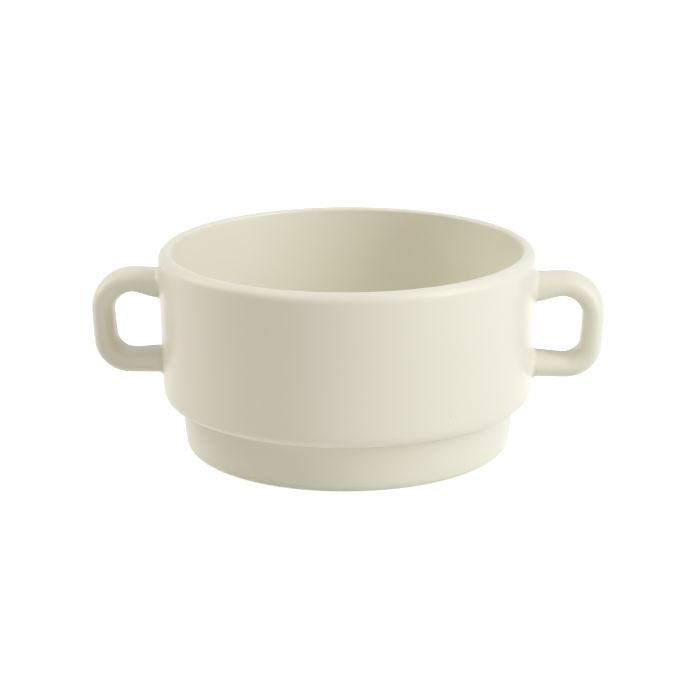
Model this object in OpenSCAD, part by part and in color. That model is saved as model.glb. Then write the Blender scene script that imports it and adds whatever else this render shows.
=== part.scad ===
// Stacking soup bowl with two lug handles, in ivory glazed hotel china. Lengths are in millimetres.
// The origin is the centre of the foot on the table, +Z is up, and the lugs stand on -X and +X.
// The bowl is one moulded piece. Each lug is a second moulded piece, stuck on at its two ends with slip.

/* [Bowl] */
// Outside diameter of the bowl at the lip
rim_d = 104; // [94:1:120]
// Height of the bowl, from the table to the lip
bowl_h = 56; // [54:1:70]
// Thickness of the wall, the same from the lip down to the step
wall_t = 3.7; // [3:0.1:4.4]
// How far the outside wall draws in on each side, from the lip down to the step
wall_taper = 1; // [0.4:0.1:2]
// Thickness of the floor
floor_t = 4; // [3.2:0.1:5.5]

/* [Lip] */
// Radius of the lip's soft outer edge
lip_outer_r = 2.6; // [1.6:0.1:2.8]
// Radius of the lip's inner edge
lip_inner_r = 1; // [0.4:0.1:1.4]

/* [Stacking foot] */
// Height of the step's underside, which sits on the lip of the bowl below
step_h = 13.8; // [11:0.2:16]
// Radius of the shoulder, where the wall turns under into the step
shoulder_r = 3.6; // [2:0.1:4.2]
// Gap all round between the foot and the rim of the bowl that it stacks in
stack_gap = 2.1; // [1.2:0.1:3.2]
// How far the foot draws in on each side, from the step down to the table
foot_taper = 1.4; // [0.6:0.1:2.6]
// Radius of the foot's outer edge
foot_edge_r = 2.7; // [1:0.1:3.4]
// Width of the dry ring that the bowl stands on
foot_ring_w = 2.8; // [1.6:0.1:5]
// Radius of the small fillet where the foot meets the step
step_fillet_r = 0.5; // [0.3:0.1:1]
// Height of the hollow under the floor, at the centre
recess_h = 3; // [1.6:0.1:4.4]
// How far the foot ring's inner flank leans in on its way up to the hollow
recess_lean = 1.4; // [0.6:0.1:2.6]
// Radius of the fillet at the top of that flank
recess_fillet_r = 1.6; // [0.8:0.1:2]
// Radius of the foot ring's inner edge
ring_edge_r = 0.9; // [0.4:0.1:1.4]

/* [Lug handles] */
// How far the top of a lug stands out past the rim
lug_reach = 19.2; // [16:0.2:26]
// How much less far the bottom of a lug stands out
lug_lean = 1.4; // [0:0.1:3]
// Drop from the lip to the top of a lug, at the bowl
lug_drop = 6.6; // [5:0.2:9]
// How much the top arm climbs from the bowl to its corner
lug_climb = 0.5; // [0:0.1:1.2]
// Gap between the shoulder and the underside of a lug
lug_base_gap = 2.8; // [2.2:0.1:4]
// Width of a lug, side to side
lug_w = 12.5; // [9:0.5:16]
// Thickness of a lug's two arms
arm_t = 6.2; // [4.6:0.1:7]
// Thickness of a lug's upright grip
grip_t = 6; // [4.6:0.1:7.5]
// Radius of a lug's top outside corner
lug_top_r = 10.8; // [8:0.2:12]
// Radius of a lug's bottom outside corner
lug_bottom_r = 8.8; // [6:0.2:10]
// Radius of the finger hole's top corner
hole_top_r = 5.8; // [3:0.1:6.6]
// Radius of the finger hole's bottom corner
hole_bottom_r = 4.5; // [2.6:0.1:5.4]
// How much the top arm thickens towards the bowl
top_flare = 1.7; // [0:0.1:2.4]
// How much the bottom arm thickens towards the bowl
bottom_flare = 0.6; // [0:0.1:2]
// Length of that thickening, from the wall outwards
flare_len = 8; // [5:0.5:11]
// Fullness of a lug's section, from 2 for an oval to 4 for a rounded box
section_power = 2.4; // [2:0.1:4]

/* [Slip joints] */
// Thickness of the slip between a lug's end and the wall
slip_t = 0.4; // [0.2:0.1:0.8]
// Radius of the sponged slip fillet round a lug's end
slip_fillet_r = 1.5; // [0.8:0.1:1.9]
// Thickness at which the sponged slip ends on the clay
slip_edge_t = 0.1; // [0.06:0.02:0.2]

/* [Hidden] */

ivory = [0.92, 0.9, 0.82];
slip_ivory = [0.89, 0.86, 0.77];

// Steps in a turn of the bowl, in a quarter turn of its outline, and round a lug's section
turn_steps = 144;
quarter_steps = 10;
section_steps = 28;
// Stretches of a lug: along each arm, round each corner and down the grip
arm_steps = 8;
corner_steps = 8;
grip_steps = 5;
lug_rings = 2 * arm_steps + 2 * (corner_steps + 1) + grip_steps - 1;
slip_steps = 5;

rim_r = rim_d / 2;
rim_inside_r = rim_r - wall_t;
floor_z = recess_h + floor_t;
foot_top_r = rim_inside_r - stack_gap;
foot_r = foot_top_r - foot_taper;
ring_inside_r = foot_r - foot_edge_r - foot_ring_w;
shoulder_z = step_h + shoulder_r;

// The wall leans by the same amount for each millimetre of height, inside and outside
wall_lean = wall_taper / (bowl_h - step_h);
function wall_r(z) = rim_r - (bowl_h - z) * wall_lean;
well_wall_r = wall_r(floor_z) - wall_t;

// The well's corner radius is the one that leaves a full wall at the corner under the step
step_inset = well_wall_r - foot_top_r;
step_over_floor = step_h - floor_z;
well_sum = step_inset + step_over_floor + wall_t;
well_r = well_sum + sqrt(pow(well_sum, 2) - pow(step_inset, 2) - pow(step_over_floor, 2) + pow(wall_t, 2));
well_centre = [well_wall_r - well_r, floor_z + well_r];

// The hollow under the floor keeps the floor's thickness below the well, out to the foot ring
recess_arc_r = well_r + floor_t;
recess_edge_r = ring_inside_r - recess_lean;
recess_sweep = asin((recess_edge_r - well_centre[0]) / recess_arc_r);

// Each lug hangs between the lip and the shoulder
lug_top_z = bowl_h - lug_drop;
lug_bottom_z = shoulder_z + lug_base_gap;
lug_out_r = rim_r + lug_reach;
lug_root_r = wall_r(lug_top_z);
// The loft starts this far inside the wall, and the wall's own face then cuts it
root_depth = wall_t / 2;
// The slip is drawn this far into the arm and the wall, and their own faces then cut it
slip_depth = slip_t;
// A corner takes up to these shares of the arm and of the grip that it joins
arm_corner_share = 0.75;
grip_corner_share = 0.48;
function corner_limit(reach, height) = min(reach * arm_corner_share, height * grip_corner_share);
lug_corner_limit = corner_limit(lug_out_r - lug_root_r, lug_top_z - lug_bottom_z);
hole_corner_limit = corner_limit(lug_out_r - grip_t - lug_root_r, lug_top_z - lug_bottom_z - 2 * arm_t);

function unit(v) = v / norm(v);
function mix(a, b, t) = a + (b - a) * t;
function signed_pow(v, p) = sign(v) * pow(abs(v), p);
// Eases from 0 to 1 with a flat start and end
function ease(t) = let (u = max(0, min(1, t))) u * u * (3 - 2 * u);

// Points on the arc of radius r that rounds the corner between two straight sides
function corner_arc(before, corner, after, r, steps) =
    let (
        u = unit(before - corner),
        v = unit(after - corner),
        half = acos(u * v) / 2,
        centre = corner + unit(u + v) * r / sin(half),
        start = corner + u * r / tan(half) - centre,
        end = corner + v * r / tan(half) - centre,
        turn = 180 - 2 * half
    )
    [
        for (i = [0 : steps])
            let (a = turn * i / steps)
            centre + (start * sin(turn - a) + end * sin(a)) / sin(turn)
    ];

function flat(p) = p == undef ? undef : [p[0], p[1]];
// An outline from corners written [x, y, radius]
function rounded(corners) = [
    for (i = [0 : len(corners) - 1])
        let (before = flat(corners[i - 1]), corner = flat(corners[i]), after = flat(corners[i + 1]))
        each corners[i][2] == 0 ? [corner] : corner_arc(before, corner, after, corners[i][2], quarter_steps)
];

// Half of the bowl's section: the hollow underneath, the foot, the step, the wall, the lip and the well
function bowl_outline() = rounded(concat(
    [[0, recess_h, 0]],
    [
        for (i = [0 : quarter_steps - 1])
            let (a = recess_sweep * i / quarter_steps)
            [well_centre[0] + recess_arc_r * sin(a), well_centre[1] - recess_arc_r * cos(a), 0]
    ],
    [
        [recess_edge_r, well_centre[1] - recess_arc_r * cos(recess_sweep), recess_fillet_r],
        [ring_inside_r, 0, ring_edge_r],
        [foot_r, 0, foot_edge_r],
        [foot_top_r, step_h, step_fillet_r],
        [wall_r(step_h), step_h, shoulder_r],
        [rim_r, bowl_h, lip_outer_r],
        [rim_inside_r, bowl_h, lip_inner_r],
        [well_wall_r, floor_z, well_r],
        [0, floor_z, 0]
    ]
));

// A solid whose face is the outside wall, grown by a slip thickness, to trim what is stuck on it
module wall_block(grow) {
    cylinder(h = bowl_h, r1 = wall_r(0) + grow, r2 = wall_r(bowl_h) + grow, $fn = turn_steps);
}

// One side of a lug from the bowl, round its top and bottom corners and back to the bowl
function lug_side(top_x, bottom_x, root_z, top_z, bottom_z, top_r, bottom_r) =
    let (
        start_x = lug_root_r - root_depth,
        root = [start_x, root_z],
        top = [top_x, top_z],
        bottom = [bottom_x, bottom_z],
        back = [start_x, bottom_z],
        top_arc = corner_arc(root, top, bottom, top_r, corner_steps),
        bottom_arc = corner_arc(top, bottom, back, bottom_r, corner_steps)
    )
    concat(
        [for (i = [0 : arm_steps - 1]) mix(root, top_arc[0], i / arm_steps)],
        top_arc,
        [for (i = [1 : grip_steps - 1]) mix(top_arc[corner_steps], bottom_arc[0], i / grip_steps)],
        bottom_arc,
        [for (i = [1 : arm_steps]) mix(bottom_arc[corner_steps], back, i / arm_steps)]
    );

function lug_outside() = lug_side(
    lug_out_r, lug_out_r - lug_lean, lug_top_z, lug_top_z + lug_climb, lug_bottom_z,
    min(lug_top_r, lug_corner_limit), min(lug_bottom_r, lug_corner_limit)
);

function lug_hole() = lug_side(
    lug_out_r - grip_t, lug_out_r - grip_t - lug_lean, lug_top_z - arm_t, lug_top_z - arm_t,
    lug_bottom_z + arm_t, min(hole_top_r, hole_corner_limit), min(hole_bottom_r, hole_corner_limit)
);

// The arms thicken into the finger hole as they near the wall
function flared_hole() =
    let (side = lug_hole(), middle = (len(side) - 1) / 2)
    [
        for (i = [0 : len(side) - 1])
            let (near = 1 - ease((side[i][0] - lug_root_r) / flare_len))
            [side[i][0], side[i][1] + (i < middle ? -top_flare : bottom_flare) * near]
    ];

// A point on the section's rim at angle a, as shares of its half thickness and half width
function section_share(a) = [signed_pow(cos(a), 2 / section_power), signed_pow(sin(a), 2 / section_power)];

// One ring of the lug, between a point on its outside and the matching point on its hole
function lug_ring(outer, inner) =
    let (middle = (outer + inner) / 2, half = (outer - inner) / 2)
    [
        for (i = [0 : section_steps - 1])
            let (s = section_share(360 * i / section_steps), p = middle + half * s[0])
            [p[0], s[1] * lug_w / 2, p[1]]
    ];

// A closed skin over rings that all have the same number of points, with a fan at each end
module skin(rings) {
    count = len(rings[0]);
    last = len(rings) - 1;
    ones = [for (i = [1 : count]) 1];
    centres = [ones * rings[0] / count, ones * rings[last] / count];
    points = concat([for (r = rings) each r], centres);
    start = count * (last + 1);
    sides = [
        for (j = [0 : last - 1], i = [0 : count - 1])
            let (n = (i + 1) % count, a = j * count + i, b = j * count + n)
            each [[a, b, b + count], [a, b + count, a + count]]
    ];
    start_fan = [for (i = [0 : count - 1]) [start, (i + 1) % count, i]];
    end_fan = [for (i = [0 : count - 1]) [start + 1, last * count + i, last * count + (i + 1) % count]];
    polyhedron(points = points, faces = concat(sides, start_fan, end_fan), convexity = 6);
}

// The stretch of a lug from one ring to another, with its ends trimmed a slip's thickness off the wall
module lug(first = 0, last = lug_rings - 1) {
    outside = lug_outside();
    hole = flared_hole();
    difference() {
        skin([for (i = [first : last]) lug_ring(outside[i], hole[i])]);
        wall_block(slip_t);
    }
}

// The sponged fillet is the path of a ball that rolls round the arm's end, against the arm and the wall.
// It stands off both by the thickness at which the slip ends, so that the edge isn't a knife edge.
function slip_ball(top_z, bottom_z, a) =
    let (
        s = section_share(a),
        half_h = (top_z - bottom_z) / 2,
        power = 2 - 2 / section_power,
        out = unit([signed_pow(sin(a), power) / (lug_w / 2), signed_pow(cos(a), power) / half_h]),
        on_arm = [s[1] * lug_w / 2, (top_z + bottom_z) / 2 + s[0] * half_h],
        centre = on_arm + out * (slip_edge_t + slip_fillet_r),
        from_axis = wall_r(centre[1]) + slip_edge_t + slip_fillet_r,
        x = sqrt(pow(from_axis, 2) - pow(centre[0], 2))
    )
    [[x, centre[0], centre[1]], [0, -out[0], -out[1]], [-x, -centre[0], 0] / from_axis];

// Rings of the slip: into the arm, round the ball from the arm to the wall, and into the wall
function slip_rings(top_z, bottom_z) =
    let (balls = [for (i = [0 : section_steps - 1]) slip_ball(top_z, bottom_z, 360 * i / section_steps)])
    concat(
        [[for (b = balls) b[0] + b[1] * (slip_fillet_r + slip_edge_t + slip_depth)]],
        [
            for (j = [0 : slip_steps])
                [
                    for (b = balls)
                        let (turn = acos(b[1] * b[2]), t = turn * j / slip_steps)
                        b[0] + (b[1] * sin(turn - t) + b[2] * sin(t)) * slip_fillet_r / sin(turn)
                ]
        ],
        [[for (b = balls) b[0] + b[2] * (slip_fillet_r + slip_edge_t + slip_depth)]]
    );

// Slip as it sets: a film between the wall and the arm that is its child, and a fillet round the arm
module slip_joint(top_z, bottom_z) {
    difference() {
        skin(slip_rings(top_z, bottom_z));
        children();
        wall_block(0);
    }
}

module upper_slip_joint() {
    slip_joint(lug_top_z, lug_top_z - arm_t - top_flare)
        lug(last = arm_steps);
}

module lower_slip_joint() {
    slip_joint(lug_bottom_z + arm_t + bottom_flare, lug_bottom_z)
        lug(first = lug_rings - 1 - arm_steps);
}

module bowl_body() {
    color(ivory)
        rotate_extrude($fn = turn_steps)
            polygon(bowl_outline());
}

module right_lug_handle() {
    color(ivory)
        lug();
}

module left_lug_handle() {
    color(ivory)
        rotate([0, 0, 180])
            lug();
}

module right_upper_slip_joint() {
    color(slip_ivory)
        upper_slip_joint();
}

module right_lower_slip_joint() {
    color(slip_ivory)
        lower_slip_joint();
}

module left_upper_slip_joint() {
    color(slip_ivory)
        rotate([0, 0, 180])
            upper_slip_joint();
}

module left_lower_slip_joint() {
    color(slip_ivory)
        rotate([0, 0, 180])
            lower_slip_joint();
}

bowl_body();
left_lug_handle();
right_lug_handle();
left_upper_slip_joint();
left_lower_slip_joint();
right_upper_slip_joint();
right_lower_slip_joint();
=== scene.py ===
"""A stacking soup bowl with two lug handles, in ivory glazed china, on a white studio table."""
import math

import bmesh
import bpy
from mathutils import Matrix, Vector


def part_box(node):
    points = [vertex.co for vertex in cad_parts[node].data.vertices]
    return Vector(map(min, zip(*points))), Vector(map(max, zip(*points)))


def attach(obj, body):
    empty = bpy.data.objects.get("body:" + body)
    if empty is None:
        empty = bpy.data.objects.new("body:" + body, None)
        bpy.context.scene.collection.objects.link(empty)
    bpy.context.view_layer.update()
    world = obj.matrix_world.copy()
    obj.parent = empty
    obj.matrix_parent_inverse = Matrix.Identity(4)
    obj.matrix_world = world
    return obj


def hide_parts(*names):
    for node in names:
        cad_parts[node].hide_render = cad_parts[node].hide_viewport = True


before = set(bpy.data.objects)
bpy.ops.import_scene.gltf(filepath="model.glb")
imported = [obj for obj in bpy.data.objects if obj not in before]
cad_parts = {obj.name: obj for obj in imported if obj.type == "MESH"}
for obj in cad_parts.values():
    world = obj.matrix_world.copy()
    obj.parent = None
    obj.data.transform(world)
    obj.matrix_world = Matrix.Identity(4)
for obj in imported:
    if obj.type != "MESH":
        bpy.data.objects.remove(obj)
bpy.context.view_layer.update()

MM = 0.001

# Bowl, in millimetres
RIM_R = 52
WALL_T = 3.7
WALL_TAPER = 1
FLOOR_T = 4
LIP_OUTER_R = 2.6
LIP_INNER_R = 1
BOWL_H = (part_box("bowl_body")[1].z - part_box("bowl_body")[0].z) / MM

# Stacking foot, in millimetres
STEP_H = 13.8
SHOULDER_R = 3.6
STACK_GAP = 2.1
FOOT_TAPER = 1.4
FOOT_EDGE_R = 2.7
FOOT_RING_W = 2.8
STEP_FILLET_R = 0.5
RECESS_H = 3
RECESS_LEAN = 1.4
RECESS_FILLET_R = 1.6
RING_EDGE_R = 0.9

# Lug handles, in millimetres
LUG_REACH = 19.2
LUG_LEAN = 1.4
LUG_DROP = 6.6
LUG_CLIMB = 0.5
LUG_BASE_GAP = 2.8
LUG_W = 12.5
ARM_T = 6.2
GRIP_T = 6
LUG_TOP_R = 10.8
LUG_BOTTOM_R = 9.8
HOLE_TOP_R = 5.8
HOLE_BOTTOM_R = 4.5
GRIP_BOW = 0.3
HOLE_BOW = 0.1
TOP_FLARE = 1.7
BOTTOM_FLARE = 0.6
FLARE_LEN = 8
SECTION_POWER = 2.4

# Slip joints, in millimetres
SLIP_T = 0.4
SLIP_FILLET_R = 1.5

# Fineness of the meshes
TURN_STEPS = 256
STRAIGHT_STEP = 2.5
ARC_STEP = math.radians(6)
SECTION_STEPS = 64
ARM_STEPS = 12
CORNER_STEPS = 18
GRIP_STEPS = 10
SLIP_STEPS = 14
RECESS_STEPS = 12
BALL_TRIES = 20
TABLE_STEPS = 96
SHARP_ANGLE = math.radians(50)

# Colours, as the shares of red, green and blue light that each gives back
IVORY = (0.85, 0.835, 0.742)
THIN_IVORY = (0.86, 0.85, 0.765)
POOLED_IVORY = (0.83, 0.81, 0.705)
SPECK_BROWN = (0.30, 0.20, 0.11)
BARE_CLAY = (0.72, 0.68, 0.58)
SHADED_CLAY = (0.58, 0.53, 0.44)
TABLE_GREY = (0.26, 0.25, 0.23)
SPOON_GREY = (0.42, 0.42, 0.40)

# Glaze and clay
GLAZE_ROUGHNESS = 0.32
GLAZE_IOR = 1.5
GLAZE_SHINE = 0.4
CLAY_ROUGHNESS = 0.85
SPECK_SPACING = 6
SPECK_CORE = 0.012
SPECK_EDGE = 0.035
SPECK_SHARE = 0.2
SPECK_STRENGTH = 0.35
PINHOLE_SHARE = 0.15
PINHOLE_DEPTH = 0.03
DRIFT_SIZE = 26
MOTTLE_SIZE = 5
PATCH_CONTRAST = 0.16
PATCH_BASE = 0.34
ROUGHNESS_SWING = 0.05
EDGE_ROUGHNESS = 0.04
RIPPLE_SIZE = 17
RIPPLE_DEPTH = 0.06
PEEL_SIZE = 2.1
PEEL_DEPTH = 0.006
FINE_SIZE = 0.5
FINE_DEPTH = 0.0008
SPONGE_SIZE = 1.1
SPONGE_DEPTH = 0.02
GRAIN_SIZE = 0.45
GRAIN_DEPTH = 0.03
DRY_RING_REACH = 1.35
DRY_RING_WOBBLE = 0.7
DRY_RING_SINK = 0.08
RING_SCOUR_W = 0.5
RING_RUB = 0.6
RUB_POLISH = 0.3
SEAM_W = 0.5
SEAM_THIN = 0.12
SEAM_H = 0.012
LUG_SIDE_THIN = 0.5
SLIP_POOL = 0.7
WELL_POOL_R = 26
WORN_WELL_R = 34
STREAK_BREAKS = 4
SPOON_CENTRES = ((17, -6), (-11, 15), (-6, -19))
SPOON_STREAK_W = 0.35
SPOON_WEAR = 0.12

# Camera, in metres, degrees and shares of the picture's width
CAMERA_DISTANCE = 0.6888
CAMERA_AZIMUTH = 3.33
CAMERA_ELEVATION = 15.97
CAMERA_ROLL = -0.27
CAMERA_LENS_SHARE = 3.543
SENSOR_W = 36
CAMERA_SHIFT = (0.0037, -0.0073)

# Softboxes: azimuth from the front to the right, elevation, width and height in degrees, level, colour
LAMP_DISTANCE = 1.2
WHITE = (1, 1, 1)
CREAM = (1, 0.97, 0.89)
WARM = (1, 0.84, 0.5)
SOFTBOXES = {
    "key": (69, 32, 16, 40, 6.5, WHITE),
    "front_right": (51, 32, 20, 40, 0.9, WHITE),
    "front": (-4, 32, 56, 36, 0.45, WARM),
    "left": (-104, 30, 28, 36, 3.9, CREAM),
    "low_right": (72, 8, 46, 14, 2.4, WHITE),
    "low_front": (-4, 8, 48, 14, 0.35, WARM),
    "overhead_right": (70, 64, 40, 22, 1.1, WHITE),
    "overhead_left": (-60, 64, 40, 22, 2.5, CREAM),
    "back": (170, 48, 70, 30, 0.45, WHITE),
}
STUDIO_GLOW = 0.05
TABLE_RADIUS = 3
TABLE_WHITE = 0.8
TABLE_GLOW = 0.8

FOOT_TOP_R = RIM_R - WALL_T - STACK_GAP
FOOT_R = FOOT_TOP_R - FOOT_TAPER
RING_INSIDE_R = FOOT_R - FOOT_EDGE_R - FOOT_RING_W
FLOOR_Z = RECESS_H + FLOOR_T
WALL_LEAN = WALL_TAPER / (BOWL_H - STEP_H)
WALL_TILT = math.atan(WALL_LEAN)
LUG_TOP_Z = BOWL_H - LUG_DROP
LUG_BOTTOM_Z = STEP_H + SHOULDER_R + LUG_BASE_GAP
LUG_OUT_R = RIM_R + LUG_REACH


def wall_r(z):
    """Radius of the outside wall at a height."""
    return RIM_R - (BOWL_H - z) * WALL_LEAN


LUG_ROOT_R = wall_r(LUG_TOP_Z)
WELL_WALL_R = wall_r(FLOOR_Z) - WALL_T
# The well's corner leaves a full wall at the corner under the step
STEP_INSET = WELL_WALL_R - FOOT_TOP_R
STEP_OVER_FLOOR = STEP_H - FLOOR_Z
WELL_SUM = STEP_INSET + STEP_OVER_FLOOR + WALL_T
WELL_R = WELL_SUM + math.sqrt(WELL_SUM ** 2 - STEP_INSET ** 2 - STEP_OVER_FLOOR ** 2 + WALL_T ** 2)
WELL_CENTRE = Vector((WELL_WALL_R - WELL_R, FLOOR_Z + WELL_R))
RECESS_ARC_R = WELL_R + FLOOR_T
RECESS_SWEEP = math.asin((RING_INSIDE_R - RECESS_LEAN - WELL_CENTRE.x) / RECESS_ARC_R)


def ease(share):
    """From 0 to 1 with a flat start and end."""
    share = max(0, min(1, share))
    return share * share * (3 - 2 * share)


def signed_power(value, power):
    return math.copysign(abs(value) ** power, value)


def swing(start, end, turn, share):
    """The way at a share of the turn from a start to an end."""
    return (start * math.sin(turn * (1 - share)) + end * math.sin(turn * share)) / math.sin(turn)


def corner_arc(before, corner, after, radius, steps):
    """Points on the arc that rounds the corner between two straight sides."""
    toward_before = (before - corner).normalized()
    toward_after = (after - corner).normalized()
    half = toward_before.angle(toward_after) / 2
    centre = corner + (toward_before + toward_after).normalized() * radius / math.sin(half)
    start = corner + toward_before * radius / math.tan(half) - centre
    end = corner + toward_after * radius / math.tan(half) - centre
    turn = math.pi - 2 * half
    steps = steps or math.ceil(turn / ARC_STEP)
    return [centre + swing(start, end, turn, i / steps) for i in range(steps + 1)]


def finish_mesh(bm, name, material):
    """A smooth shaded object at the origin, from a mesh in millimetres."""
    bmesh.ops.scale(bm, vec=(MM, MM, MM), verts=bm.verts)
    mesh = bpy.data.meshes.new(name)
    bm.to_mesh(mesh)
    bm.free()
    mesh.shade_smooth()
    mesh.materials.append(material)
    piece = bpy.data.objects.new(name, mesh)
    bpy.context.scene.collection.objects.link(piece)
    return piece


def draw_side(bm, points, longest):
    """A chain of edges in the XZ plane, with its long straights divided."""
    last = bm.verts.new((points[0].x, 0, points[0].y))
    for a, b in zip(points, points[1:]):
        steps = max(1, math.ceil((b - a).length / longest))
        for i in range(1, steps + 1):
            here = a.lerp(b, i / steps)
            moved = bmesh.ops.extrude_vert_indiv(bm, verts=[last])["verts"][0]
            moved.co = (here.x, 0, here.y)
            last = moved


def recess_z(angle):
    """Height of the hollow's ceiling at an angle round the well's centre."""
    return WELL_CENTRE.y - RECESS_ARC_R * math.cos(angle)


def bowl_corners():
    """Corners of half the bowl's section as (x, z, radius), from the hollow below round to the floor."""
    hollow = [(0, RECESS_H, 0)]
    for i in range(RECESS_STEPS):
        angle = RECESS_SWEEP * i / RECESS_STEPS
        hollow.append((WELL_CENTRE.x + RECESS_ARC_R * math.sin(angle), recess_z(angle), 0))
    return hollow + [
        (RING_INSIDE_R - RECESS_LEAN, recess_z(RECESS_SWEEP), RECESS_FILLET_R),
        (RING_INSIDE_R, 0, RING_EDGE_R),
        (FOOT_R, 0, FOOT_EDGE_R),
        (FOOT_TOP_R, STEP_H, STEP_FILLET_R),
        (wall_r(STEP_H), STEP_H, SHOULDER_R),
        (RIM_R, BOWL_H, LIP_OUTER_R),
        (RIM_R - WALL_T, BOWL_H, LIP_INNER_R),
        (WELL_WALL_R, FLOOR_Z, WELL_R),
        (0, FLOOR_Z, 0),
    ]


def rounded(corners):
    """The outline through corners written (x, z, radius)."""
    outline = []
    for i, (x, z, radius) in enumerate(corners):
        corner = Vector((x, z))
        if radius:
            before, after = Vector(corners[i - 1][:2]), Vector(corners[i + 1][:2])
            outline += corner_arc(before, corner, after, radius, 0)
        else:
            outline.append(corner)
    return outline


def make_bowl(material):
    bm = bmesh.new()
    draw_side(bm, rounded(bowl_corners()), STRAIGHT_STEP)
    section = bm.verts[:] + bm.edges[:]
    bmesh.ops.spin(
        bm, geom=section, cent=(0, 0, 0), axis=(0, 0, 1), angle=math.tau, steps=TURN_STEPS, use_merge=True,
    )
    bmesh.ops.remove_doubles(bm, verts=bm.verts, dist=MM)
    bmesh.ops.recalc_face_normals(bm, faces=bm.faces)
    return finish_mesh(bm, "bowl", material)


def lug_side(top_x, bottom_x, top_z, corner_z, bottom_z, top_r, bottom_r, bow):
    """One side of a lug, from the wall round its two corners and back, bowed out between them."""
    root, top = Vector((LUG_ROOT_R, top_z)), Vector((top_x, corner_z))
    bottom, back = Vector((bottom_x, bottom_z)), Vector((LUG_ROOT_R, bottom_z))
    top_arc = corner_arc(root, top, bottom, top_r, CORNER_STEPS)
    bottom_arc = corner_arc(top, bottom, back, bottom_r, CORNER_STEPS)
    arm_out = [root.lerp(top_arc[0], i / ARM_STEPS) for i in range(ARM_STEPS)]
    grip = [top_arc[-1].lerp(bottom_arc[0], i / GRIP_STEPS) for i in range(1, GRIP_STEPS)]
    arm_back = [bottom_arc[-1].lerp(back, i / ARM_STEPS) for i in range(1, ARM_STEPS + 1)]
    side = arm_out + top_arc + grip + bottom_arc + arm_back
    for point in side:
        share = max(0, min(1, (point.y - bottom_z) / (top_z - bottom_z)))
        point.x += bow * 4 * share * (1 - share)
    return side


def lug_outside():
    return lug_side(
        LUG_OUT_R, LUG_OUT_R - LUG_LEAN, LUG_TOP_Z, LUG_TOP_Z + LUG_CLIMB, LUG_BOTTOM_Z,
        LUG_TOP_R, LUG_BOTTOM_R, GRIP_BOW,
    )


def lug_hole():
    """The finger hole's side of a lug, with the arms thickened towards the wall."""
    hole_x, top_z = LUG_OUT_R - GRIP_T, LUG_TOP_Z - ARM_T
    bottom_z = LUG_BOTTOM_Z + ARM_T
    side = lug_side(hole_x, hole_x - LUG_LEAN, top_z, top_z, bottom_z, HOLE_TOP_R, HOLE_BOTTOM_R, HOLE_BOW)
    for i, point in enumerate(side):
        near = 1 - ease((point.x - LUG_ROOT_R) / FLARE_LEN)
        point.y += near * (-TOP_FLARE if i < len(side) / 2 else BOTTOM_FLARE)
    return side


def section_share(angle):
    """A point on the rim of a lug's section, as shares of its half thickness and half width."""
    power = 2 / SECTION_POWER
    return signed_power(math.cos(angle), power), signed_power(math.sin(angle), power)


def section_angles():
    return [math.tau * i / SECTION_STEPS for i in range(SECTION_STEPS)]


def ring_points(outer, inner):
    """One ring of a lug, between a point on its outside and the matching point on its hole."""
    middle, half = (outer + inner) / 2, (outer - inner) / 2
    ring = []
    for angle in section_angles():
        thick, wide = section_share(angle)
        point = middle + half * thick
        ring.append(Vector((point.x, wide * LUG_W / 2, point.y)))
    return ring


def onto_wall(point, off):
    """The point moved along X until it stands off the wall."""
    return Vector((math.sqrt((wall_r(point.z) + off) ** 2 - point.y ** 2), point.y, point.z))


def loft(bm, rings):
    """A closed skin, made by pulling the first ring's edges out to each next ring in turn."""
    verts = [bm.verts.new(p) for p in rings[0]]
    edges = [bm.edges.new((a, b)) for a, b in zip(verts, verts[1:] + verts[:1])]
    first = edges
    for ring in rings[1:]:
        pulled = bmesh.ops.extrude_edge_only(bm, edges=edges)["geom"]
        edges = [e for e in pulled if isinstance(e, bmesh.types.BMEdge) and e.is_boundary]
        moved = {v for v in pulled if isinstance(v, bmesh.types.BMVert)}
        verts = [next(e.other_vert(v) for e in v.link_edges if e.other_vert(v) in moved) for v in verts]
        for vert, point in zip(verts, ring):
            vert.co = point
    return first, edges


def close_end(bm, edges):
    """Closes a ring with a fan."""
    cap = bmesh.ops.edgeloop_fill(bm, edges=edges)["faces"]
    bmesh.ops.poke(bm, faces=cap)


def turn_to(bm, side):
    """Turns what is modelled on +X round to -X for the left side."""
    if side == "left":
        bmesh.ops.rotate(bm, verts=bm.verts, cent=(0, 0, 0), matrix=Matrix.Rotation(math.pi, 3, "Z"))


def make_lug(side, material):
    rings = [ring_points(o, h) for o, h in zip(lug_outside(), lug_hole())]
    for end in (0, -1):
        rings[end] = [onto_wall(p, SLIP_T) for p in rings[end]]
    bm = bmesh.new()
    for edges in loft(bm, rings):
        close_end(bm, edges)
    bmesh.ops.recalc_face_normals(bm, faces=bm.faces)
    turn_to(bm, side)
    return finish_mesh(bm, f"{side}_lug", material)


def arm_at(x, upper):
    """The arm's middle height and half thickness at a distance from the bowl's axis."""
    near = 1 - ease((x - LUG_ROOT_R) / FLARE_LEN)
    if upper:
        climb = LUG_CLIMB * (x - LUG_ROOT_R) / (LUG_OUT_R - LUG_ROOT_R)
        top, bottom = LUG_TOP_Z + climb, LUG_TOP_Z - ARM_T - TOP_FLARE * near
    else:
        top, bottom = LUG_BOTTOM_Z + ARM_T + BOTTOM_FLARE * near, LUG_BOTTOM_Z
    return (top + bottom) / 2, (top - bottom) / 2


def arm_point(x, angle, upper):
    """A point on the arm's skin and the skin's outward direction there."""
    middle, half = arm_at(x, upper)
    thick, wide = section_share(angle)
    point = Vector((x, wide * LUG_W / 2, middle + thick * half))
    power = 2 - 2 / SECTION_POWER
    across = signed_power(math.sin(angle), power) / (LUG_W / 2)
    upward = signed_power(math.cos(angle), power) / half
    reach = 0.01
    next_middle, next_half = arm_at(x + reach, upper)
    slope = (next_middle + thick * next_half - point.z) / reach
    return point, Vector((-slope * upward, across, upward)).normalized()


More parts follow.
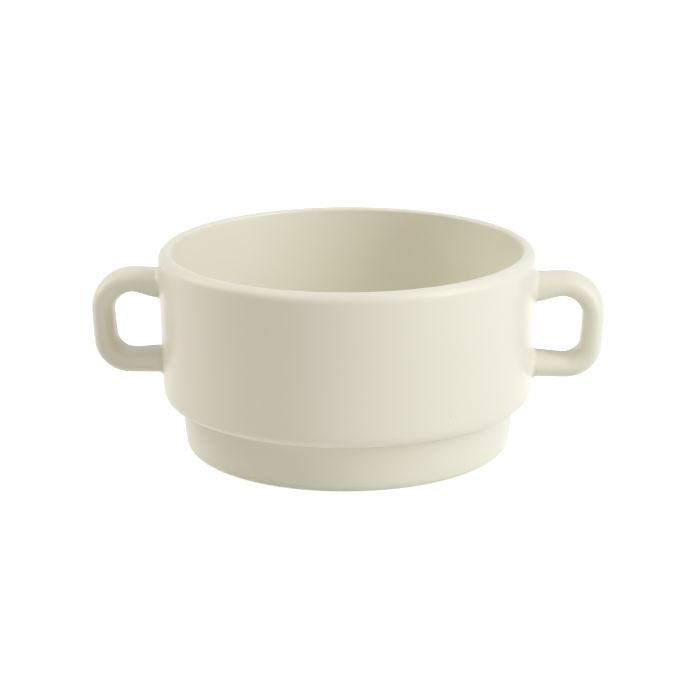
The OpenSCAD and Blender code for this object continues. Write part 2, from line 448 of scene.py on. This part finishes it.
def slip_ball(angle, upper):
    """Centre of the ball that rests on the arm and the wall, and the ways from it to each."""
    x = LUG_ROOT_R + SLIP_FILLET_R
    for _ in range(BALL_TRIES):
        point, out = arm_point(x, angle, upper)
        centre = point + out * SLIP_FILLET_R
        wanted = wall_r(centre.z) + SLIP_FILLET_R / math.cos(WALL_TILT)
        x += math.sqrt(wanted ** 2 - centre.y ** 2) - centre.x
    around = Vector((centre.x, centre.y, 0)).normalized()
    wall_out = around * math.cos(WALL_TILT) - Vector((0, 0, math.sin(WALL_TILT)))
    return centre, -out, -wall_out


def slip_rings(upper):
    """Rings of a slip joint, from its film behind the arm round the ball and back to the wall."""
    balls = [slip_ball(angle, upper) for angle in section_angles()]
    arm_skin = [arm_point(LUG_ROOT_R + SLIP_T, angle, upper)[0] for angle in section_angles()]
    arm_end = [onto_wall(point, SLIP_T) for point in arm_skin]
    arc = []
    for step in range(SLIP_STEPS + 1):
        share = ease(step / SLIP_STEPS)
        ring = []
        for centre, to_arm, to_wall in balls:
            way = swing(to_arm, to_wall, to_arm.angle(to_wall), share)
            ring.append(centre + way * SLIP_FILLET_R)
        arc.append(ring)
    under = [onto_wall(p, 0) for p in arm_end]
    return [arm_end, *arc, under]


def make_slip(side, level, material):
    bm = bmesh.new()
    for edges in loft(bm, slip_rings(level == "upper")):
        close_end(bm, edges)
    bmesh.ops.recalc_face_normals(bm, faces=bm.faces)
    for edge in bm.edges:
        edge.smooth = edge.calc_face_angle(0) <= SHARP_ANGLE
    turn_to(bm, side)
    return finish_mesh(bm, f"{side}_{level}_slip", material)


def put(tree, kind, feeds, **settings):
    """Places a shader node, sets it up, and feeds its sockets with values or with other nodes' sockets."""
    node = tree.nodes.new("ShaderNode" + kind)
    for setting, value in settings.items():
        setattr(node, setting, value)
    for socket, value in feeds.items():
        if isinstance(value, bpy.types.NodeSocket):
            tree.links.new(value, node.inputs[socket])
        else:
            node.inputs[socket].default_value = value
    return node


def calc(tree, operation, *values):
    """One step of arithmetic on numbers or on sockets."""
    return put(tree, "Math", dict(enumerate(values)), operation=operation).outputs[0]


def steer(tree, operation, *values):
    """The same for vectors."""
    return put(tree, "VectorMath", dict(enumerate(values)), operation=operation)


def fade(tree, value, start, end, first=0, last=1):
    """Goes softly from first to last while the value goes from start to end."""
    feeds = {"Value": value, "From Min": start, "From Max": end, "To Min": first, "To Max": last}
    return put(tree, "MapRange", feeds, interpolation_type="SMOOTHSTEP").outputs["Result"]


def clouds(tree, place, size, detail=2):
    """Random soft patches about a size across, around 0.5."""
    return put(tree, "TexNoise", {"Vector": place, "Scale": 1 / size, "Detail": detail}).outputs[0]


def tint(tree, share, first, second):
    feeds = {"Factor": share, 6: first, 7: second}
    return put(tree, "Mix", feeds, data_type="RGBA").outputs[2]


def blend(tree, share, first, second):
    return put(tree, "Mix", {"Factor": share, 2: first, 3: second}, data_type="FLOAT").outputs[0]


def start_group(name, inputs, outputs):
    """An empty node group with its named sockets."""
    tree = bpy.data.node_groups.new(name, "ShaderNodeTree")
    for sockets, in_out in ((inputs, "INPUT"), (outputs, "OUTPUT")):
        for label, kind in sockets.items():
            tree.interface.new_socket(label, in_out=in_out, socket_type="NodeSocket" + kind)
    return tree, tree.nodes.new("NodeGroupInput").outputs, tree.nodes.new("NodeGroupOutput").inputs


def use(tree, group, feeds):
    """Places a node group in a material and gives back its outputs."""
    return put(tree, "Group", feeds, node_tree=group).outputs


def ring_mask_group():
    """1 on a ring round the bowl's axis, fading to 0 at a reach from it."""
    sockets = {
        "Place": "Vector", "Ring Radius": "Float", "Ring Height": "Float",
        "Reach": "Float", "Soft": "Float",
    }
    tree, given, result = start_group("ring_mask", sockets, {"Near": "Float"})
    flat = steer(tree, "MULTIPLY", given["Place"], (1, 1, 0)).outputs[0]
    out = calc(tree, "SUBTRACT", steer(tree, "LENGTH", flat).outputs["Value"], given["Ring Radius"])
    height = put(tree, "SeparateXYZ", {0: given["Place"]}).outputs["Z"]
    up = calc(tree, "SUBTRACT", height, given["Ring Height"])
    apart = steer(tree, "LENGTH", put(tree, "CombineXYZ", {"X": out, "Y": up}).outputs[0]).outputs["Value"]
    soft_from = calc(tree, "SUBTRACT", given["Reach"], given["Soft"])
    tree.links.new(fade(tree, apart, soft_from, given["Reach"], 1, 0), result["Near"])
    return tree


def turned_streaks_group():
    """Thin broken streaks round an axis through the origin, as turning, scouring and spoons leave."""
    sockets = {"Place": "Vector", "Width": "Float"}
    tree, given, result = start_group("turned_streaks", sockets, {"Streaks": "Float"})
    flat = steer(tree, "MULTIPLY", given["Place"], (1, 1, 0)).outputs[0]
    around = steer(tree, "SCALE", steer(tree, "NORMALIZE", flat).outputs[0])
    around.inputs["Scale"].default_value = STREAK_BREAKS
    height = put(tree, "SeparateXYZ", {0: given["Place"]}).outputs["Z"]
    along = calc(tree, "ADD", steer(tree, "LENGTH", flat).outputs["Value"], height)
    step = put(tree, "CombineXYZ", {"Z": calc(tree, "DIVIDE", along, given["Width"])}).outputs[0]
    where = steer(tree, "ADD", around.outputs[0], step).outputs[0]
    tree.links.new(clouds(tree, where, 1, 1), result["Streaks"])
    return tree


def glaze_skin_group():
    """Satin ivory glaze with thicker and thinner patches, tiny specks, pinholes and a soft ripple."""
    sockets = {
        "Place": "Vector", "Thin": "Float", "Pool": "Float",
        "Ivory": "Color", "Thin Ivory": "Color", "Pooled Ivory": "Color",
    }
    results = {"Colour": "Color", "Roughness": "Float", "Height": "Float"}
    tree, given, result = start_group("glaze_skin", sockets, results)
    place = given["Place"]
    drift, mottle = clouds(tree, place, DRIFT_SIZE), clouds(tree, place, MOTTLE_SIZE)
    patchy = calc(tree, "MULTIPLY_ADD", calc(tree, "ADD", drift, mottle), PATCH_CONTRAST, PATCH_BASE)
    thicker = calc(tree, "MULTIPLY_ADD", given["Pool"], 0.5, patchy)
    thickness = calc(tree, "MULTIPLY_ADD", given["Thin"], -0.5, thicker)
    covered = tint(tree, fade(tree, thickness, 0, 0.5), given["Thin Ivory"], given["Ivory"])
    pooled = tint(tree, fade(tree, thickness, 0.5, 1), covered, given["Pooled Ivory"])

    spots = put(tree, "TexVoronoi", {"Vector": place, "Scale": 1 / SPECK_SPACING})
    chance = put(tree, "SeparateXYZ", {0: spots.outputs["Color"]}).outputs
    in_spot = fade(tree, spots.outputs["Distance"], SPECK_CORE, SPECK_EDGE, 1, 0)
    speck = calc(tree, "MULTIPLY", in_spot, calc(tree, "GREATER_THAN", chance["X"], 1 - SPECK_SHARE))
    pinhole = calc(tree, "MULTIPLY", in_spot, calc(tree, "GREATER_THAN", chance["Y"], 1 - PINHOLE_SHARE))
    colour = tint(tree, calc(tree, "MULTIPLY", speck, SPECK_STRENGTH), pooled, (*SPECK_BROWN, 1))
    tree.links.new(colour, result["Colour"])

    patches = calc(tree, "SUBTRACT", mottle, drift)
    patchy_rough = calc(tree, "MULTIPLY_ADD", patches, ROUGHNESS_SWING, GLAZE_ROUGHNESS)
    edge_rough = calc(tree, "MULTIPLY_ADD", given["Thin"], EDGE_ROUGHNESS, patchy_rough)
    rough = calc(tree, "MULTIPLY_ADD", given["Pool"], -EDGE_ROUGHNESS, edge_rough)
    tree.links.new(rough, result["Roughness"])

    ripple = calc(tree, "MULTIPLY", clouds(tree, place, RIPPLE_SIZE, 0), RIPPLE_DEPTH)
    peel = calc(tree, "MULTIPLY_ADD", clouds(tree, place, PEEL_SIZE, 1), PEEL_DEPTH, ripple)
    fine = calc(tree, "MULTIPLY_ADD", clouds(tree, place, FINE_SIZE, 1), FINE_DEPTH, peel)
    tree.links.new(calc(tree, "MULTIPLY_ADD", pinhole, -PINHOLE_DEPTH, fine), result["Height"])
    return tree


def bare_clay_group():
    """Unglazed fired clay, fine grained and a little rubbed."""
    results = {"Colour": "Color", "Roughness": "Float", "Height": "Float"}
    tree, given, result = start_group("bare_clay", {"Place": "Vector", "Rub": "Float"}, results)
    grain = clouds(tree, given["Place"], GRAIN_SIZE, 4)
    clay = tint(tree, fade(tree, grain, 0.3, 0.7), (*BARE_CLAY, 1), (*SHADED_CLAY, 1))
    tree.links.new(tint(tree, given["Rub"], clay, (*TABLE_GREY, 1)), result["Colour"])
    rough = calc(tree, "MULTIPLY_ADD", given["Rub"], -RUB_POLISH, CLAY_ROUGHNESS)
    tree.links.new(rough, result["Roughness"])
    tree.links.new(calc(tree, "MULTIPLY", grain, GRAIN_DEPTH), result["Height"])
    return tree


def start_material(name):
    """A material with its place in millimetres, and a shader that waits for what feeds it."""
    material = bpy.data.materials.new(name)
    material.use_nodes = True
    tree = material.node_tree
    place = steer(tree, "SCALE", put(tree, "TexCoord", {}).outputs["Object"])
    place.inputs["Scale"].default_value = 1 / MM
    return material, tree, place.outputs[0]


def finish_material(tree, colour, roughness, height):
    shader = tree.nodes["Principled BSDF"]
    tree.links.new(colour, shader.inputs["Base Color"])
    tree.links.new(roughness, shader.inputs["Roughness"])
    bump = put(tree, "Bump", {"Height": height, "Distance": MM})
    tree.links.new(bump.outputs["Normal"], shader.inputs["Normal"])
    shader.inputs["IOR"].default_value = GLAZE_IOR
    shader.inputs["Specular IOR Level"].default_value = GLAZE_SHINE


def glaze(tree, group, place, thin, pool):
    return use(tree, group, {
        "Place": place, "Thin": thin, "Pool": pool,
        "Ivory": (*IVORY, 1), "Thin Ivory": (*THIN_IVORY, 1), "Pooled Ivory": (*POOLED_IVORY, 1),
    })


def most(tree, values):
    """The highest of several values."""
    highest = values[0]
    for value in values[1:]:
        highest = calc(tree, "MAXIMUM", highest, value)
    return highest


def bowl_glaze(groups):
    """Glaze that is thin on edges and pooled in corners, with a dry foot ring and faint signs of use."""
    material, tree, place = start_material("bowl_glaze")

    def on_ring(radius, height, reach, soft):
        feeds = {"Place": place, "Ring Radius": radius, "Ring Height": height, "Reach": reach, "Soft": soft}
        return use(tree, groups["ring_mask"], feeds)["Near"]

    thin = most(tree, [
        on_ring(RIM_R - 0.8, BOWL_H - 0.8, 2.4, 2),
        on_ring(RIM_R - WALL_T + 0.4, BOWL_H - 0.3, 1.6, 1.4),
        on_ring(wall_r(STEP_H) - 1, STEP_H + 1, 2.6, 2.2),
        on_ring(FOOT_R - 0.8, 0.8, 2, 1.8),
    ])
    pool = most(tree, [
        on_ring(FOOT_TOP_R, STEP_H, 1.6, 1.5),
        on_ring(RING_INSIDE_R - RECESS_LEAN, RECESS_H, 2.6, 2.4),
        on_ring(0, FLOOR_Z, WELL_POOL_R, 20),
    ])
    skin = glaze(tree, groups["glaze_skin"], place, thin, pool)

    reach = DRY_RING_REACH - DRY_RING_WOBBLE / 2
    wobble = calc(tree, "MULTIPLY_ADD", clouds(tree, place, 4, 3), DRY_RING_WOBBLE, reach)
    dry = on_ring((FOOT_R - FOOT_EDGE_R + RING_INSIDE_R + RING_EDGE_R) / 2, 0, wobble, 0.12)
    turned = use(tree, groups["turned_streaks"], {"Place": place, "Width": RING_SCOUR_W})["Streaks"]
    rub = fade(tree, turned, 0.45, 0.75, 0, RING_RUB)
    clay = use(tree, groups["bare_clay"], {"Place": place, "Rub": rub})

    marks = []
    for centre in SPOON_CENTRES:
        moved = steer(tree, "SUBTRACT", place, (*centre, 0)).outputs[0]
        streaks = use(tree, groups["turned_streaks"], {"Place": moved, "Width": SPOON_STREAK_W})["Streaks"]
        marks.append(fade(tree, streaks, 0.66, 0.74))
    in_well = on_ring(0, FLOOR_Z, WORN_WELL_R, 10)
    spooned = calc(tree, "MULTIPLY", most(tree, marks), in_well)
    wear = calc(tree, "MULTIPLY", spooned, SPOON_WEAR)
    worn_colour = tint(tree, wear, skin["Colour"], (*SPOON_GREY, 1))
    worn_roughness = calc(tree, "MULTIPLY_ADD", spooned, SPOON_WEAR, skin["Roughness"])

    finish_material(
        tree,
        tint(tree, dry, worn_colour, clay["Colour"]),
        blend(tree, dry, worn_roughness, clay["Roughness"]),
        blend(tree, dry, skin["Height"], calc(tree, "SUBTRACT", clay["Height"], DRY_RING_SINK)),
    )
    return material


def lug_glaze(groups):
    """Glaze that is a little thin on a lug's two sides and along its faint mould seam."""
    material, tree, place = start_material("lug_glaze")
    off_centre = calc(tree, "ABSOLUTE", put(tree, "SeparateXYZ", {0: place}).outputs["Y"])
    seam = fade(tree, off_centre, 0, SEAM_W, 1, 0)
    side = fade(tree, off_centre, LUG_W * 0.38, LUG_W * 0.5, 0, LUG_SIDE_THIN)
    thin = calc(tree, "MULTIPLY_ADD", seam, SEAM_THIN, side)
    skin = glaze(tree, groups["glaze_skin"], place, thin, 0)
    height = calc(tree, "MULTIPLY_ADD", seam, SEAM_H, skin["Height"])
    finish_material(tree, skin["Colour"], skin["Roughness"], height)
    return material


def slip_glaze(groups):
    """Glaze pooled in the sponged fillet between a lug and the wall."""
    material, tree, place = start_material("slip_glaze")
    flat = steer(tree, "MULTIPLY", place, (1, 1, 0)).outputs[0]
    from_axis = steer(tree, "LENGTH", flat).outputs["Value"]
    pool = fade(tree, from_axis, LUG_ROOT_R, LUG_ROOT_R + SLIP_FILLET_R, SLIP_POOL, 0)
    skin = glaze(tree, groups["glaze_skin"], place, 0, pool)
    height = calc(tree, "MULTIPLY_ADD", clouds(tree, place, SPONGE_SIZE), SPONGE_DEPTH, skin["Height"])
    finish_material(tree, skin["Colour"], skin["Roughness"], height)
    return material


def dress_bowl():
    groups = {tree.name: tree for tree in (
        ring_mask_group(), turned_streaks_group(), glaze_skin_group(), bare_clay_group(),
    )}
    on_lug, on_slip = lug_glaze(groups), slip_glaze(groups)
    pieces = {"bowl_body": make_bowl(bowl_glaze(groups))}
    for side in ("left", "right"):
        pieces[f"{side}_lug_handle"] = make_lug(side, on_lug)
        for level in ("upper", "lower"):
            pieces[f"{side}_{level}_slip_joint"] = make_slip(side, level, on_slip)
    for node, piece in pieces.items():
        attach(piece, "root")
        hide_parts(node)


def seen_directly(tree):
    """1 for what the camera sees, also through glass and in reflections, and 0 for light."""
    path = put(tree, "LightPath", {}).outputs
    return most(tree, [path[f"Is {kind} Ray"] for kind in ("Camera", "Glossy", "Transmission")])


def make_floor():
    bm = bmesh.new()
    bmesh.ops.create_circle(bm, cap_ends=True, segments=TABLE_STEPS, radius=TABLE_RADIUS)
    mesh = bpy.data.meshes.new("floor")
    bm.to_mesh(mesh)
    bm.free()
    floor = bpy.data.objects.new("floor", mesh)
    bpy.context.scene.collection.objects.link(floor)
    material = bpy.data.materials.new("white_table")
    material.use_nodes = True
    tree = material.node_tree
    tree.nodes.clear()
    diffuse = put(tree, "BsdfDiffuse", {"Color": (TABLE_WHITE, TABLE_WHITE, TABLE_WHITE, 1)}).outputs[0]
    lift = calc(tree, "MULTIPLY", seen_directly(tree), TABLE_GLOW)
    glow = put(tree, "Emission", {"Strength": lift}).outputs[0]
    both = put(tree, "AddShader", {0: diffuse, 1: glow}).outputs[0]
    put(tree, "OutputMaterial", {"Surface": both})
    mesh.materials.append(material)


def direction(azimuth, elevation):
    """The way from the bowl to an azimuth from the front and an elevation, both in degrees."""
    azimuth, elevation = math.radians(azimuth), math.radians(elevation)
    flat = math.cos(elevation)
    return Vector((math.sin(azimuth) * flat, -math.cos(azimuth) * flat, math.sin(elevation)))


def softbox(name, azimuth, elevation, width, height, level, colour):
    """A softbox that faces the bowl. Its place and its size are the angles at which the bowl sees it."""
    way = direction(azimuth, elevation)
    data = bpy.data.lights.new(name, "AREA")
    data.shape = "RECTANGLE"
    data.size = 2 * LAMP_DISTANCE * math.tan(math.radians(width / 2))
    data.size_y = 2 * LAMP_DISTANCE * math.tan(math.radians(height / 2))
    data.energy = math.pi * data.size * data.size_y * level
    data.color = colour
    lamp = bpy.data.objects.new(name, data)
    lamp.location = Vector((0, 0, BOWL_H / 2 * MM)) + way * LAMP_DISTANCE
    lamp.rotation_euler = (-way).to_track_quat("-Z", "Y").to_euler()
    bpy.context.scene.collection.objects.link(lamp)


def light_studio():
    for name, lamp in SOFTBOXES.items():
        softbox(name, *lamp)
    world = bpy.data.worlds.new("studio")
    world.use_nodes = True
    tree = world.node_tree
    tree.nodes.clear()
    strength = blend(tree, seen_directly(tree), STUDIO_GLOW, 1.0)
    background = put(tree, "Background", {"Color": (1, 1, 1, 1), "Strength": strength}).outputs[0]
    put(tree, "OutputWorld", {"Surface": background})
    bpy.context.scene.world = world


def place_camera():
    data = bpy.data.cameras.new("camera")
    data.sensor_width = SENSOR_W
    data.lens = CAMERA_LENS_SHARE * data.sensor_width
    data.shift_x, data.shift_y = CAMERA_SHIFT
    camera = bpy.data.objects.new("camera", data)
    back = direction(CAMERA_AZIMUTH, CAMERA_ELEVATION)
    target = Vector((0, 0, BOWL_H / 2 * MM))
    facing = (-back).to_track_quat("-Z", "Y").to_matrix()
    roll = Matrix.Rotation(math.radians(CAMERA_ROLL), 3, "Z")
    camera.matrix_world = Matrix.Translation(target + back * CAMERA_DISTANCE) @ (facing @ roll).to_4x4()
    bpy.context.scene.collection.objects.link(camera)
    bpy.context.scene.camera = camera


place_camera()
dress_bowl()
make_floor()
light_studio()
bpy.context.scene.view_settings.view_transform = "Standard"
